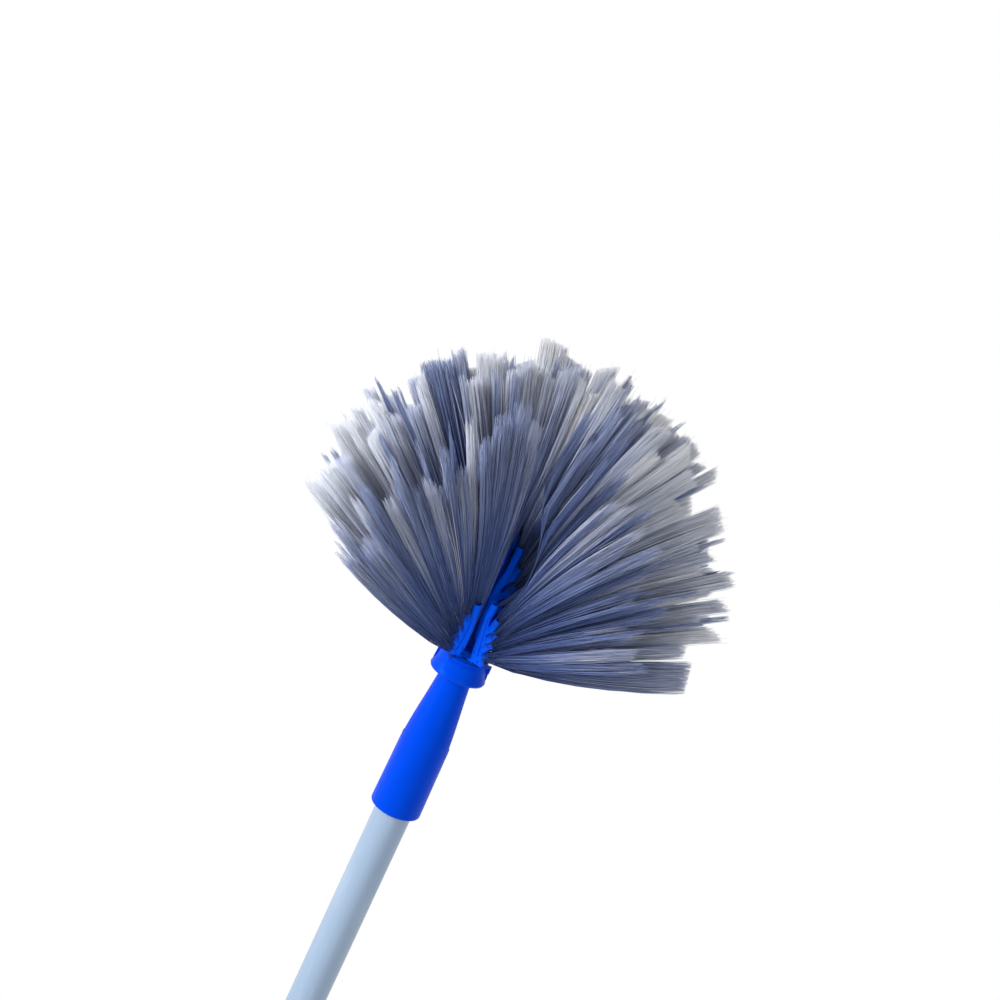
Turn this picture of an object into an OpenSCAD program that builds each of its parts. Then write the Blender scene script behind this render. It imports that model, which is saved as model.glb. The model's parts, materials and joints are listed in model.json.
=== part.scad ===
// Cobweb brush on a telescopic pole. Millimetres, +Z up the pole, with the head at the top.
// The head is a fan in the XZ plane: comb-like arms hold tufts of bristle in cups at their finger tips.
// The origin lies under the middle of the end cap's eye.

/* [Pole] */
// Outer diameter of the upper tube
upper_tube_d = 22; // [20:0.5:24]
// Wall of the upper tube
upper_tube_wall = 0.8; // [0.6:0.1:1.2]
// Length of the upper tube
upper_tube_length = 640; // [600:5:680]
// Wall of the lower tube
lower_tube_wall = 0.9; // [0.6:0.1:1.2]
// Length of the lower tube
lower_tube_length = 530; // [500:5:560]
// Radial gap between the two tubes
tube_gap = 0.6; // [0.5:0.1:1]
// Length of upper tube that shows between the lock nut and the socket
upper_tube_shown = 149; // [130:1:170]
// Radial clearance of what slides or turns on a tube
running_clearance = 0.1; // [0.05:0.01:0.2]
// Radial clearance of what is seated for good
seat_clearance = 0.05; // [0.02:0.01:0.1]

/* [End cap and grip] */
// Radius of the hole that hangs the brush up
eye_hole_r = 4.5; // [3.5:0.5:5.5]
// Thickness of the eye
eye_t = 9; // [7:0.5:12]
// Height of the eye's hole above the end
eye_hole_z = 12; // [10:0.5:13]
// Height of the eye below the cap's round part
eye_height = 18; // [16:0.5:20]
// Height of the seat of the tube
cap_seat_z = 30; // [28:0.5:34]
// Length of tube inside the cap
cap_depth = 24; // [16:1:30]
// Wall of the cap round the tube
cap_wall = 1.7; // [1.2:0.1:2.5]
// Distance from the cap to the grip
grip_to_cap = 8; // [2:1:20]
// Length of the grip
grip_length = 120; // [96:4:140]
// Wall of the grip
grip_wall = 3; // [2:0.1:4]
// Distance from one grip groove to the next
grip_pitch = 8; // [7:0.5:12]
// Depth of a grip groove
grip_groove = 0.9; // [0.5:0.1:1.2]
// Radius of a grip groove's round bottom
grip_groove_r = 2.6; // [2:0.1:3]

/* [Twist lock] */
// Wall of the lock's sleeve round the lower tube
lock_wall = 2.1; // [1.6:0.1:3]
// Length of lower tube inside the lock's sleeve
lock_depth = 36; // [24:1:48]
// Height of the solid shoulder above the lower tube's end
lock_shoulder = 6; // [4:0.5:8]
// Length of the threaded neck
lock_neck_length = 14; // [10:0.5:18]
// Length of the tapered jaws above the neck
jaw_length = 10; // [8:0.5:14]
// Wall of the jaws at their tips
jaw_tip_wall = 0.9; // [0.7:0.1:1.2]
// Wall of the threaded neck
neck_wall = 1.9; // [1.5:0.1:2.2]
// Number of slits between the jaws
slit_count = 4; // [3:1:6]
// Width of a slit
slit_w = 1.2; // [0.8:0.1:2]
// Thinnest wall of the lock nut
nut_wall = 2.6; // [2:0.1:4]
// Height of the nut's roof above the jaws
nut_roof = 12; // [8:0.5:16]
// Gap between the nut and the sleeve
nut_gap = 0.3; // [0.2:0.1:0.6]
// Free height above the jaws inside the nut
jaw_headroom = 1; // [0.5:0.1:2]
// Number of finger flutes round the nut
flute_count = 16; // [10:1:24]
// Radius of a flute
flute_r = 2.4; // [1.5:0.1:3]
// Depth of a flute
flute_depth = 0.8; // [0.4:0.1:1.2]

/* [Pole ends] */
// Length of the plugs inside the upper tube
plug_length = 22; // [16:1:30]
// Length of the running flange below the upper tube
guide_length = 8; // [5:0.5:12]
// Diameter of the stud thread on top of the upper tube
stud_d = 18.6; // [17:0.1:19]
// Length of the stud thread
stud_length = 26.5; // [20:0.5:27]
// Thickness of the plug's rim on the tube's end
rim_t = 1.5; // [1:0.1:2]
// Radius of the cross rivet
rivet_r = 1.6; // [1:0.1:2]
// Distance of the rivet below the upper tube's end
rivet_depth = 12; // [8:0.5:14]

/* [Socket] */
// Wall of the socket at its mouth
socket_wall = 3.9; // [3:0.1:5]
// Depth of the mouth, which takes the plain tube
mouth_depth = 36; // [30:0.5:40]
// Radial clearance between the tube and the mouth
mouth_clearance = 0.2; // [0.15:0.05:0.4]
// Free space above the stud
stud_headroom = 2; // [1:0.5:3]
// Thickness of the web that the clamp screw bites
web_t = 5; // [4:0.5:7]
// Height of the straight lower half of the socket
socket_straight = 44; // [38:1:48]
// Taper of the straight half, off the radius
socket_taper = 0.7; // [0:0.1:1.5]
// Radius of the socket's neck below the ring
neck_r = 9.9; // [9.5:0.1:11]
// Step in from the neck to the journal inside the ring
neck_step = 0.7; // [0.4:0.1:1]
// Height of the journal
journal_length = 4.6; // [3.6:0.1:6]
// Length of the neck between the spigot's seat and the web
spigot_length = 23; // [18:0.5:26]
// Radius of the hub's spigot
spigot_r = 6.4; // [5.5:0.1:6.8]
// Radius of the mouth's rounded edge
rim_round = 1.4; // [0.5:0.1:2]
// Radius of the side relief's hollow
relief_r = 8; // [6:0.5:12]
// Depth of the side relief
relief_depth = 1.3; // [0.8:0.1:1.6]
// Height of the relief's step above the mouth
relief_start = 46; // [42:1:52]
// Distance of the relief's top from the ring
relief_margin = 3; // [2:0.5:6]

/* [Ring and hub] */
// Radius of the pointed bottom flange
flange_r = 16.6; // [15.5:0.1:18]
// Height of the ring
ring_height = 12.5; // [11:0.1:14]
// Radius of the ring's band at its top edge
band_top_r = 13.9; // [13.7:0.1:14.2]
// Radius of the ring's band just above the flange
band_r = 14.9; // [14.5:0.1:15.4]
// Height of the flange's edge
flange_t = 1.2; // [0.8:0.1:2]
// Height at which the flange has run out into the band
flange_slope = 6.4; // [4:0.1:7.5]
// Radius of the hub inside the ring
hub_r = 12.5; // [12.2:0.1:12.8]
// Thickness of the hub's top flange above the ring
hub_flange_t = 1.5; // [1:0.1:3]
// How far the hub's top flange lies inside the band's edge
flange_inset = 0.3; // [0.1:0.1:0.6]
// How far the raised panels stand out of the band
panel_raise = 0.9; // [0.5:0.1:1.4]
// Angle that a raised panel covers
panel_angle = 64; // [40:1:80]
// How far a tab stands out of the band
tab_reach = 2.4; // [1.5:0.1:3]
// Height of a tab
tab_height = 3.2; // [2:0.1:4]
// Angle that a tab covers
tab_angle = 20; // [12:1:30]

/* [Clamp] */
// Radius of the arms' round feet
foot_r = 1.7; // [1.5:0.05:1.9]
// Half of the clamp bar's width
bar_half_w = 2.6; // [2.4:0.1:2.8]
// Half of the clamp bar's length
bar_half_length = 11.6; // [10.8:0.1:12]
// Thickness of the clamp bar
bar_t = 4; // [3:0.1:5]
// Gap between the clamp bar and the hub
bar_lift = 0.3; // [0.2:0.05:0.5]
// Radius of the clamp screw
screw_r = 2; // [1.6:0.1:2.1]
// Radius of the clamp screw's head
screw_head_r = 3.4; // [3:0.1:3.6]
// Height of the clamp screw's head
screw_head_t = 2.4; // [2:0.1:3]

/* [Arms] */
// Length of foot that runs on under the blade, in an inner row
inner_foot = 5.5; // [3:0.5:6]
// Length of foot that runs on under the blade, in an outer row
outer_foot = 1.8; // [1.4:0.1:2]
// Gap between a blade and the clamp bar
bar_gap = 0.4; // [0.3:0.05:0.6]
// Gap between the inner ends of a left and a right foot
foot_gap = 1; // [0.8:0.1:1.4]
// Thickness of an arm's blade
blade_t = 3; // [2.4:0.1:3.2]
// Thickness of the bead along the arm's spine
bead_t = 4.2; // [3.6:0.1:4.4]
// Width of an arm's root web at its foot
web_w = 8; // [6:0.1:9]
// Height at which the root web has run out into the spine
web_height = 14; // [10:0.5:18]
// Width of the spine above its root web
spine_w = 4.6; // [4:0.1:5.2]
// Width of the spine at its top
spine_top_w = 3.4; // [3:0.1:4]
// Width of a finger
finger_w = 2.8; // [2.4:0.1:3.4]
// How far below its cup a finger leaves the spine
finger_rise = 13; // [10:0.5:16]
// Radius of the fillets between fingers
finger_fillet = 1; // [0.6:0.1:1.4]
// Radius of a cup's bore
cup_bore_r = 1.75; // [1.7:0.05:1.85]
// Wall of a cup
cup_wall = 0.65; // [0.6:0.05:0.8]
// Depth of a cup's bore
cup_depth = 7; // [5:0.5:8]
// Thickness of a cup's floor
cup_floor = 1.4; // [1:0.1:2]
// Radial clearance of a tuft's butt in its cup
butt_clearance = 0.1; // [0.05:0.01:0.15]

/* [Fan of both rows] */
// Width of the dome as a share of that of a round one
dome_waist = 0.97; // [0.94:0.01:1]
// Share of its tuft's lean that the lowest cup has
low_cup_lean = 1.07; // [1:0.01:1.1]
// Share of its tuft's lean that the top cup has
top_cup_lean = 0.7; // [0.6:0.01:0.8]
// Height of the lowest cup above the arms' feet
low_cup_z = 5.6; // [5.4:0.1:7]
// Distance of the lowest cup from the arm's inner end
low_cup_x = 15.5; // [14.5:0.1:17]

/* [Fan of inner rows] */
// Angle between the plane of the fan and an inner row, seen from above
inner_azimuth = 8; // [7:0.5:10]
// Lean of an inner row away from the plane of the fan
inner_tilt = 5; // [4.5:0.5:7]
// Distance of an inner row's foot from the plane of the fan
inner_offset = 3.9; // [3.8:0.05:4.1]
// Distance of the inner rows' tips from the dome's centre
inner_reach = 124; // [110:1:130]
// Angle between neighbouring tufts of an inner row
inner_step = 14.4; // [14:0.1:14.8]
// Angle of an inner row's lowest tips from the top of the dome
inner_lowest = 90; // [88:0.5:92]
// Height of the middle of an inner row's tips above the feet
inner_dome = 54; // [50:0.5:58]
// Number of tufts on an inner arm
inner_count = 7; // [6:1:7]
// Height of an inner arm's top cup
inner_top = 71.5; // [66:0.5:76]
// Distance of an inner arm's top cup from the axis
inner_top_x = 3.6; // [3.4:0.1:5]
// Distance of an inner arm's middle cups from the axis
inner_mid_x = 10; // [9:0.1:11]
// Distance of an inner arm's spine from the axis at its foot
inner_spine_x = 4.4; // [4.2:0.1:5]
// How far a lower inner arm's spine draws in to the axis at half its height
inner_draw = 3.6; // [3:0.1:3.6]
// How far a raised inner arm's spine draws in at half its height
inner_raised_draw = 0.1; // [0:0.1:0.2]

/* [Fan of outer rows] */
// Angle between the plane of the fan and an outer row, seen from above
outer_azimuth = 26; // [24:0.5:28]
// Lean of an outer row away from the plane of the fan
outer_tilt = 15; // [13:0.5:17]
// Distance of an outer row's foot from the plane of the fan
outer_offset = 8.8; // [8.6:0.05:9]
// Distance of the outer rows' tips from the dome's centre
outer_reach = 112; // [100:1:116]
// Angle between neighbouring tufts of an outer row
outer_step = 14; // [13:0.1:15]
// Angle of an outer row's lowest tips from the top of the dome
outer_lowest = 82; // [80:0.5:86]
// Height of the middle of an outer row's tips above the feet
outer_dome = 46; // [42:0.5:50]
// Number of tufts on an outer arm
outer_count = 5; // [4:1:5]
// Height of an outer arm's top cup
outer_top = 37; // [37:0.5:40]
// Distance of an outer arm's top cup from the axis
outer_top_x = 11.5; // [11:0.1:12]
// Distance of an outer arm's middle cups from the axis
outer_mid_x = 15; // [14.6:0.1:15.4]
// Distance of an outer arm's spine from the axis at its foot
outer_spine_x = 7; // [6:0.1:8]
// How far an outer arm's spine draws in towards the axis at half its height
outer_draw = 0.3; // [0:0.1:0.3]

/* [Bristles] */
// Number of strands in a tuft
strand_count = 8; // [7:1:8]
// Radius of the circle on which a tuft's strands leave the butt
strand_root_circle = 1.12; // [1.08:0.02:1.16]
// Share of the room between two tufts' tips that half of a tuft spreads over
tip_fill = 0.39; // [0.3:0.01:0.39]
// Half of the thickness that a tuft spreads to at its tips
tip_depth = 9; // [5:0.1:10]
// Radius of a strand at its root
strand_root_r = 0.4; // [0.3:0.01:0.42]
// Radius of a strand at its fullest
strand_full_r = 1.8; // [1:0.05:1.9]
// Radius of a strand at its tip
strand_tip_r = 1.2; // [0.6:0.05:1.5]
// Share of a tuft's length over which it keeps the direction of its cup
bend_share = 0.4; // [0.3:0.01:0.5]
// Share of its length by which the shortest strand falls short
raggedness = 0.07; // [0:0.01:0.12]

/* [Hidden] */
BLUE = [0.02, 0.22, 0.86];
DEEP_BLUE = [0.02, 0.12, 0.62];
POLE = [0.66, 0.75, 0.86];
STEEL = [0.62, 0.63, 0.65];
GRIP = [0.2, 0.24, 0.34];
BRISTLE = [0.34, 0.37, 0.5];
BRISTLE_PALE = [0.5, 0.53, 0.62];

// Overlap that makes two shapes of one solid run into each other
eps = 0.4;
// How far a cutter runs on past the face that it opens
over = 1;
// Chamfers of moulded edges, from large to fine
large_edge = 2;
edge = 1;
fine_edge = 0.5;
// Floor of the end cap under the tube
cap_floor = 3;
// Distance of the slits and the flutes from the faces that they stop before
slit_margin = 2;
flute_margin = 3;
// How far the rivet's ends lie inside the tube's surface
rivet_inset = 0.3;
// Share of the socket's waist that follows the soft curve, the rest being straight
waist_softness = 0.55;
// Free length below the screw and below the spigot
tip_gap = 0.5;
// Depth to which panels and tabs run into the ring's band
panel_root = 0.8;
// Distance of the panels' and tabs' edges from the ring's edges
panel_margin = 3;
tab_margin = 1.2;
// Share of the foot's radius at which the blade starts, and how far its bead lies inside its outline
blade_start = 0.45;
bead_margin = 1;
// Facets of large, middling and small round shapes
FINE = 96;
MIDDLING = 64;
COARSE = 32;

// Radii that follow from the tubes
upper_r = upper_tube_d / 2;
upper_bore_r = upper_r - upper_tube_wall;
lower_bore_r = upper_r + tube_gap;
lower_r = lower_bore_r + lower_tube_wall;
cap_bore_r = lower_r + seat_clearance;
cap_r = cap_bore_r + cap_wall;

// Heights up the pole
cap_floor_z = cap_seat_z - cap_floor;
grip_z = cap_seat_z + cap_depth + grip_to_cap;
lower_top_z = cap_seat_z + lower_tube_length;
shoulder_z = lower_top_z + lock_shoulder;
jaw_z = shoulder_z + lock_neck_length;
jaw_top_z = jaw_z + jaw_length;
nut_z = shoulder_z + nut_gap;
nut_top_z = jaw_top_z + nut_roof;
mouth_z = nut_top_z + upper_tube_shown;
upper_top_z = mouth_z + mouth_depth;
upper_z = upper_top_z - upper_tube_length;
stud_top_z = upper_top_z + rim_t + stud_length;
web_z = stud_top_z + stud_headroom;
spigot_z = web_z + web_t;
hub_z = spigot_z + spigot_length;
ring_z = hub_z - journal_length;
ring_top_z = ring_z + ring_height;
feet_z = ring_top_z + hub_flange_t;

// Radii of the lock
lock_bore_r = upper_r + running_clearance;
lock_r = lower_r + seat_clearance + lock_wall;
neck_outer_r = lock_bore_r + neck_wall;
jaw_tip_r = lock_bore_r + jaw_tip_wall;
nut_bore_r = neck_outer_r + running_clearance;
nut_r = nut_bore_r + nut_wall;
nut_top_r = jaw_tip_r + nut_wall;

// Radii of the socket and the head
mouth_bore_r = upper_r + mouth_clearance;
mouth_r = mouth_bore_r + socket_wall;
stud_bore_r = stud_d / 2 + running_clearance;
journal_r = neck_r - neck_step;
hub_flange_r = band_top_r - flange_inset;
spigot_bore_r = spigot_r + seat_clearance;
screw_bore_r = screw_r + running_clearance;
saddle_r = foot_r + running_clearance;
cup_r = cup_bore_r + cup_wall;
cup_length = cup_depth + cup_floor;
blade_lift = foot_r * blade_start;
butt_r = cup_bore_r - butt_clearance;
clamp_top = bar_lift + bar_t + screw_head_t + bar_gap;
// Share of its length by which a strand starts inside its butt
strand_root_share = 0.01;
// Turn from one strand's cross-section to the next
strand_twist = 40;

// One row of the fan, and what its entries are
AZIMUTH = 0;
TILT = 1;
OFFSET = 2;
REACH = 3;
STEP = 4;
COUNT = 5;
TOP = 6;
TOP_X = 7;
MID_X = 8;
SPINE_X = 9;
DRAW = 10;
RAISED_DRAW = 11;
FOOT = 12;
LOWEST = 13;
DOME = 14;
INNER = [
  inner_azimuth, inner_tilt, inner_offset, inner_reach, inner_step, inner_count,
  inner_top, inner_top_x, inner_mid_x, inner_spine_x, inner_draw, inner_raised_draw,
  inner_foot, inner_lowest, inner_dome,
];
OUTER = [
  outer_azimuth, outer_tilt, outer_offset, outer_reach, outer_step, outer_count,
  outer_top, outer_top_x, outer_mid_x, outer_spine_x, outer_draw, outer_draw,
  outer_foot, outer_lowest, outer_dome,
];

// Where each arm stands: name, row, whether its tufts lie half a step further up, left side, back
SLOTS = [
  ["front_inner_right", INNER, false, false, false],
  ["front_inner_left", INNER, true, true, false],
  ["front_outer_right", OUTER, true, false, false],
  ["front_outer_left", OUTER, false, true, false],
  ["back_inner_left", INNER, false, false, true],
  ["back_inner_right", INNER, true, true, true],
  ["back_outer_left", OUTER, true, false, true],
  ["back_outer_right", OUTER, false, true, true],
];

// How far along its row tuft k lies, in steps from the lowest place
function place_of(k, raised) = k + (raised ? 0.5 : 0);

// How many tufts an arm carries
function tufts_of(row, raised) = row == INNER && raised ? row[COUNT] - 1 : row[COUNT];

// Middle of the mouth of the cup of tuft k, in the plane of the arm
function cup_mouth(row, k, raised) =
  let (
    share = place_of(k, raised) / (row[COUNT] - 1),
    low_shift = (low_cup_x - row[MID_X]) * pow(1 - share, 4),
    x = row[MID_X] + (row[TOP_X] - row[MID_X]) * pow(share, 6) + low_shift
  )
  [x, low_cup_z + (row[TOP] - low_cup_z) * share];

// Where the tips of tuft k lie, in the plane of the arm
function tuft_tip(row, k, raised) =
  let (angle = row[LOWEST] - row[STEP] * place_of(k, raised))
  [row[REACH] * dome_waist * sin(angle), row[DOME] + row[REACH] * cos(angle)];

// Angle from the upright of the cup of tuft k, which leans less than its tuft
function cup_angle(row, k, raised) =
  let (
    run = tuft_tip(row, k, raised) - cup_mouth(row, k, raised),
    share = place_of(k, raised) / (row[COUNT] - 1)
  )
  atan2(run[0], run[1]) * (low_cup_lean + (top_cup_lean - low_cup_lean) * share);

// Direction in the plane of an arm at an angle from the upright
function heading(angle) = [sin(angle), cos(angle)];

// Inner edge of an arm's blade, clear of the clamp bar
function blade_edge(row) = (bar_half_w + bar_gap + blade_t / 2 * sin(row[AZIMUTH])) / cos(row[AZIMUTH]);

// Inner end of an arm's foot, clear of the foot on the other side
function foot_start(row) = (foot_gap / 2 + foot_r * sin(row[AZIMUTH])) / cos(row[AZIMUTH]);

// Outer end of an arm's foot
function foot_end(row) = blade_edge(row) + row[FOOT];

// Puts what is drawn in the plane of an arm, upright in XZ, in its place on the hub
module on_hub(slot) {
  row = slot[1];
  translate([0, 0, feet_z])
    rotate([0, 0, slot[4] ? 180 : 0])
      mirror([slot[3] ? 1 : 0, 0, 0])
        translate([0, -row[OFFSET], 0])
          rotate([0, 0, -row[AZIMUTH]])
            rotate([row[TILT], 0, 0])
              children();
}

// Puts what is drawn along +Z from a cup's mouth in that cup's place
module at_cup(row, k, raised) {
  mouth = cup_mouth(row, k, raised);
  translate([mouth[0], 0, mouth[1]])
    rotate([0, cup_angle(row, k, raised), 0])
      children();
}

// A ring or sleeve between two radii
module sleeve(r_out, r_in, z, length) {
  translate([0, 0, z])
    rotate_extrude($fn = FINE)
      translate([r_in, 0])
        square([r_out - r_in, length]);
}

module lower_tube() {
  color(POLE)
    sleeve(lower_r, lower_bore_r, cap_seat_z, lower_tube_length);
}

module upper_tube() {
  color(POLE)
    difference() {
      sleeve(upper_r, upper_bore_r, upper_z, upper_tube_length);
      rivet_hole();
    }
}

// Cross hole for the rivet, through the tube and its plug
module rivet_hole() {
  translate([0, 0, upper_top_z - rivet_depth])
    rotate([0, 90, 0])
      cylinder(r = rivet_r + seat_clearance, h = 3 * upper_r, center = true, $fn = COARSE);
}

// Cap with an eye: a flat tongue with a round end, which swells into the sleeve round the tube
module end_cap() {
  color(BLUE)
    difference() {
      union() {
        intersection() {
          rotate_extrude($fn = FINE)
            difference() {
              union() {
                translate([0, cap_r])
                  circle(r = cap_r);
                translate([0, cap_r])
                  square([cap_r, cap_seat_z - cap_r]);
              }
              translate([-2 * cap_r, 0])
                square([2 * cap_r, 3 * cap_r]);
            }
          translate([-2 * cap_r, -eye_t / 2, 0])
            cube([4 * cap_r, eye_t, cap_seat_z]);
        }
        translate([0, 0, eye_height])
          cylinder(r1 = eye_t / 2, r2 = cap_r - eps, h = cap_floor_z - eye_height, $fn = FINE);
        rotate_extrude($fn = FINE)
          polygon([
            [0, cap_floor_z - eps],
            [cap_r - eps, cap_floor_z - eps],
            [cap_r, cap_floor_z],
            [cap_r, cap_seat_z + cap_depth - edge],
            [cap_r - edge, cap_seat_z + cap_depth],
            [0, cap_seat_z + cap_depth],
          ]);
      }
      translate([0, 0, cap_seat_z])
        cylinder(r = cap_bore_r, h = cap_depth + over, $fn = FINE);
      translate([0, 0, eye_hole_z])
        rotate([90, 0, 0])
          cylinder(r = eye_hole_r, h = 2 * eye_t, center = true, $fn = MIDDLING);
    }
}

// Soft sleeve with round grooves
module hand_grip() {
  bore_r = lower_r + seat_clearance;
  groove_count = floor(grip_length / grip_pitch) - 1;
  first = (grip_length - (groove_count - 1) * grip_pitch) / 2;
  color(GRIP)
    translate([0, 0, grip_z])
      rotate_extrude($fn = FINE)
        difference() {
          polygon([
            [bore_r, 0],
            [bore_r + grip_wall - edge, 0],
            [bore_r + grip_wall, edge],
            [bore_r + grip_wall, grip_length - edge],
            [bore_r + grip_wall - edge, grip_length],
            [bore_r, grip_length],
          ]);
          for (k = [0:groove_count - 1])
            translate([bore_r + grip_wall + grip_groove_r - grip_groove, first + k * grip_pitch])
              circle(r = grip_groove_r, $fn = COARSE);
        }
}

// Sleeve on the lower tube with a neck and tapered jaws that close on the upper tube
module lock_body() {
  sleeve_bore_r = lower_r + seat_clearance;
  sleeve_z = lower_top_z - lock_depth;
  color(BLUE)
    difference() {
      rotate_extrude($fn = FINE)
        polygon([
          [sleeve_bore_r, sleeve_z],
          [lock_r - edge, sleeve_z],
          [lock_r, sleeve_z + edge],
          [lock_r, shoulder_z],
          [neck_outer_r, shoulder_z],
          [neck_outer_r, jaw_z],
          [jaw_tip_r, jaw_top_z],
          [lock_bore_r, jaw_top_z],
          [lock_bore_r, lower_top_z],
          [sleeve_bore_r, lower_top_z],
        ]);
      for (k = [0:slit_count - 1])
        rotate([0, 0, k * 360 / slit_count])
          translate([0, -slit_w / 2, shoulder_z + slit_margin])
            cube([2 * lock_r, slit_w, jaw_top_z - shoulder_z]);
    }
}

// Nut with finger flutes, coned inside to press the jaws in
module lock_nut() {
  flute_top_z = jaw_z + jaw_length / 2;
  color(DEEP_BLUE)
    difference() {
      rotate_extrude($fn = FINE)
        polygon([
          [nut_bore_r, nut_z],
          [nut_r - edge, nut_z],
          [nut_r, nut_z + edge],
          [nut_r, flute_top_z],
          [nut_top_r + edge, nut_top_z - large_edge],
          [nut_top_r, nut_top_z],
          [lock_bore_r + running_clearance, nut_top_z],
          [lock_bore_r + running_clearance, jaw_top_z + jaw_headroom],
          [jaw_tip_r + running_clearance, jaw_top_z + jaw_headroom],
          [jaw_tip_r + running_clearance, jaw_top_z],
          [nut_bore_r, jaw_z],
        ]);
      for (k = [0:flute_count - 1])
        rotate([0, 0, k * 360 / flute_count])
          translate([nut_r + flute_r - flute_depth, 0, nut_z + flute_margin])
            cylinder(r = flute_r, h = flute_top_z - nut_z - 2 * flute_margin, $fn = COARSE);
    }
}

// Plug in the bottom of the upper tube, with a flange that runs in the lower tube
module tube_guide() {
  color(GRIP)
    rotate_extrude($fn = FINE)
      polygon([
        [0, upper_z - guide_length],
        [lower_bore_r - running_clearance - edge, upper_z - guide_length],
        [lower_bore_r - running_clearance, upper_z - guide_length + edge],
        [lower_bore_r - running_clearance, upper_z],
        [upper_bore_r - seat_clearance, upper_z],
        [upper_bore_r - seat_clearance, upper_z + plug_length],
        [0, upper_z + plug_length],
      ]);
}

// Plug in the top of the upper tube, with the stud thread that takes the head
module thread_tip() {
  color(DEEP_BLUE)
    difference() {
      rotate_extrude($fn = FINE)
        polygon([
          [0, upper_top_z - plug_length],
          [upper_bore_r - seat_clearance, upper_top_z - plug_length],
          [upper_bore_r - seat_clearance, upper_top_z],
          [upper_r, upper_top_z],
          [upper_r, upper_top_z + rim_t],
          [stud_d / 2, upper_top_z + rim_t],
          [stud_d / 2, stud_top_z - large_edge],
          [stud_d / 2 - large_edge, stud_top_z],
          [0, stud_top_z],
        ]);
      rivet_hole();
    }
}

module tip_rivet() {
  color(STEEL)
    translate([0, 0, upper_top_z - rivet_depth])
      rotate([0, 90, 0])
        cylinder(r = rivet_r, h = 2 * (upper_r - rivet_inset), center = true, $fn = COARSE);
}

// Radius of the socket's outside at a height above its mouth: nearly straight, then drawn in to the neck
function socket_r(z) =
  let (
    top = ring_z - mouth_z,
    waist_r = mouth_r - socket_taper,
    share = max(0, (z - socket_straight) / (top - socket_straight)),
    ease = share * share * (3 - 2 * share)
  )
  z < socket_straight
    ? mouth_r - socket_taper * z / socket_straight
    : waist_r - (waist_r - neck_r) * (waist_softness * ease + (1 - waist_softness) * share);

// Moulded socket: a mouth for the tube, a threaded bore, a web for the screw, a bore for the hub's spigot
module socket() {
  top = ring_z - mouth_z;
  rounding = [
    for (a = [0:15:90]) [mouth_r - rim_round + rim_round * sin(a), rim_round - rim_round * cos(a)]
  ];
  flank = [for (z = [socket_straight:(top - socket_straight) / 12:top - eps]) [socket_r(z), z]];
  lean = atan((socket_r(socket_straight) - neck_r) / (top - socket_straight));
  color(BLUE)
    difference() {
      translate([0, 0, mouth_z])
        rotate_extrude($fn = FINE)
          polygon(concat(
            [[0, 0]],
            rounding,
            flank,
            [[neck_r, top], [journal_r, top], [journal_r, hub_z - mouth_z], [0, hub_z - mouth_z]]
          ));
      translate([0, 0, mouth_z - over])
        cylinder(r = mouth_bore_r, h = mouth_depth + rim_t + over, $fn = FINE);
      translate([0, 0, mouth_z])
        cylinder(r = stud_bore_r, h = web_z - mouth_z, $fn = FINE);
      translate([0, 0, spigot_z])
        cylinder(r = spigot_bore_r, h = spigot_length + over, $fn = FINE);
      translate([0, 0, web_z - over])
        cylinder(r = screw_r + seat_clearance, h = web_t + 2 * over, $fn = COARSE);
      for (side = [0, 180])
        rotate([0, 0, side])
          translate([socket_r(relief_start) - relief_depth + relief_r, 0, mouth_z + relief_start])
            rotate([0, -lean, 0])
              cylinder(r = relief_r, h = top - relief_start - relief_margin, $fn = MIDDLING);
    }
}

// Ring that closes the joint of socket and hub: pointed flange, band, raised panels and tabs
module collar_ring() {
  color(BLUE)
    translate([0, 0, ring_z])
      union() {
        rotate_extrude($fn = FINE)
          polygon([
            [journal_r + running_clearance, 0],
            [flange_r - fine_edge, 0],
            [flange_r, flange_t],
            [band_r, flange_slope],
            [band_top_r, ring_height - 2 * running_clearance],
            [hub_r + running_clearance, ring_height - 2 * running_clearance],
            [hub_r + running_clearance, journal_length - running_clearance],
            [journal_r + running_clearance, journal_length - running_clearance],
          ]);
        for (k = [0:2])
          rotate([0, 0, 240 * k - 90 - panel_angle / 2])
            rotate_extrude(angle = panel_angle, $fn = FINE)
              polygon([
                [hub_r + panel_root, flange_slope - panel_margin],
                [band_r + panel_raise + eps, flange_slope - panel_margin],
                [band_r + panel_raise, ring_height - panel_margin],
                [band_top_r, ring_height - edge],
                [hub_r + panel_root, ring_height - edge],
              ]);
        for (k = [0:1])
          rotate([0, 0, 120 * k - tab_angle / 2])
            translate([0, 0, ring_height - tab_height - tab_margin])
              rotate_extrude(angle = tab_angle, $fn = FINE)
                translate([hub_r + panel_root, 0])
                  square([band_top_r - hub_r - panel_root + tab_reach, tab_height]);
      }
}

// Disc with a spigot below and round saddles above, in which the arms' feet lie
module head_hub() {
  color(DEEP_BLUE)
    difference() {
      rotate_extrude($fn = FINE)
        polygon([
          [0, spigot_z + tip_gap],
          [spigot_r - edge, spigot_z + tip_gap],
          [spigot_r, spigot_z + tip_gap + edge],
          [spigot_r, hub_z],
          [hub_r, hub_z],
          [hub_r, ring_top_z],
          [hub_flange_r, ring_top_z],
          [hub_flange_r, feet_z - fine_edge],
          [hub_flange_r - fine_edge, feet_z],
          [0, feet_z],
        ]);
      translate([0, 0, spigot_z])
        cylinder(r = screw_bore_r, h = feet_z - spigot_z + over, $fn = COARSE);
      for (slot = SLOTS)
        on_hub(slot)
          rotate([0, 90, 0])
            cylinder(r = saddle_r, h = foot_end(slot[1]) + running_clearance, $fn = COARSE);
    }
}

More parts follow.
